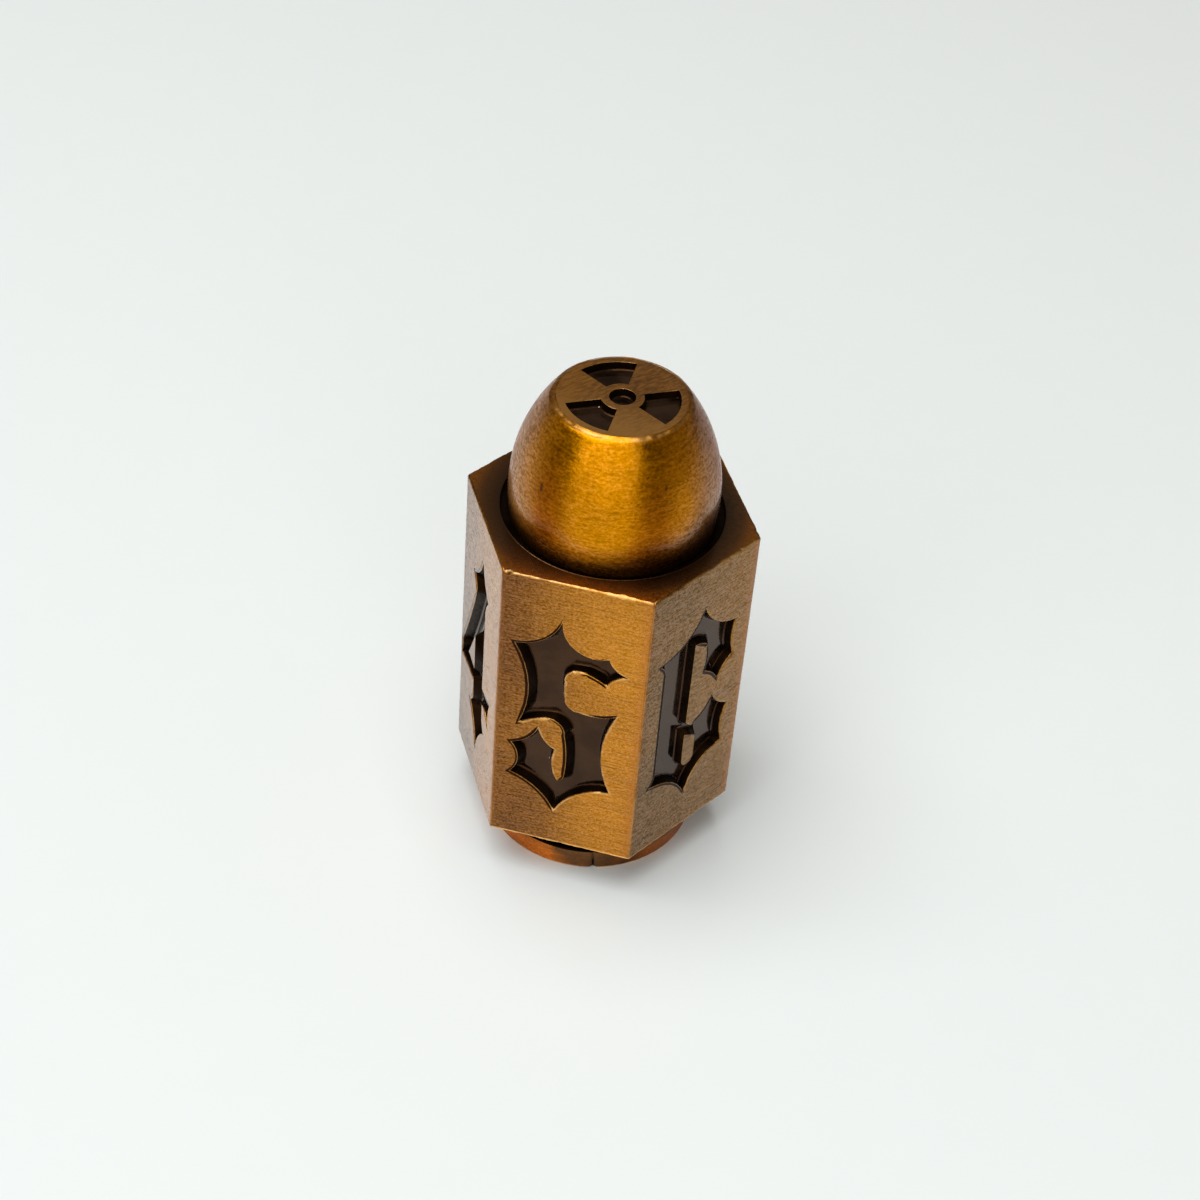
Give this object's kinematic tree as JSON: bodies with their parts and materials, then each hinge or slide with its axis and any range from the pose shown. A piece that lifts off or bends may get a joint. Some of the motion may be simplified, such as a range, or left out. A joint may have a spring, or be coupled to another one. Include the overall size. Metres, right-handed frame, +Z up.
{
  "type": "six-sided die",
  "caption": "Hexagonal metal barrel die shaped like a blunt round, with sunk enamelled numerals on its sides, a flat-tipped nose and a grooved rim.",
  "frame": {"origin": "centre of the rim's underside, where the die stands", "axes": "+Z up the die's axis to the tip of the nose, -Y out of the side with numeral 5"},
  "size_m": [0.0174, 0.015, 0.0311],
  "materials": {
    "barrel_metal": "brushed antique copper plating",
    "nose_metal": "turned and polished antique copper plating",
    "rim_metal": "turned antique copper plating",
    "enamel": "dark glossy enamel fill"
  },
  "bodies": {
    "root": {"hex_barrel": "barrel_metal", "bullet_nose": "nose_metal", "rim_base": "rim_metal", "numeral_1_enamel": "enamel", "numeral_2_enamel": "enamel", "numeral_3_enamel": "enamel", "numeral_4_enamel": "enamel", "numeral_5_enamel": "enamel", "numeral_6_enamel": "enamel", "trefoil_blade_1_enamel": "enamel", "trefoil_blade_2_enamel": "enamel", "trefoil_blade_3_enamel": "enamel", "trefoil_hub_enamel": "enamel"}
  },
  "joints": []
}
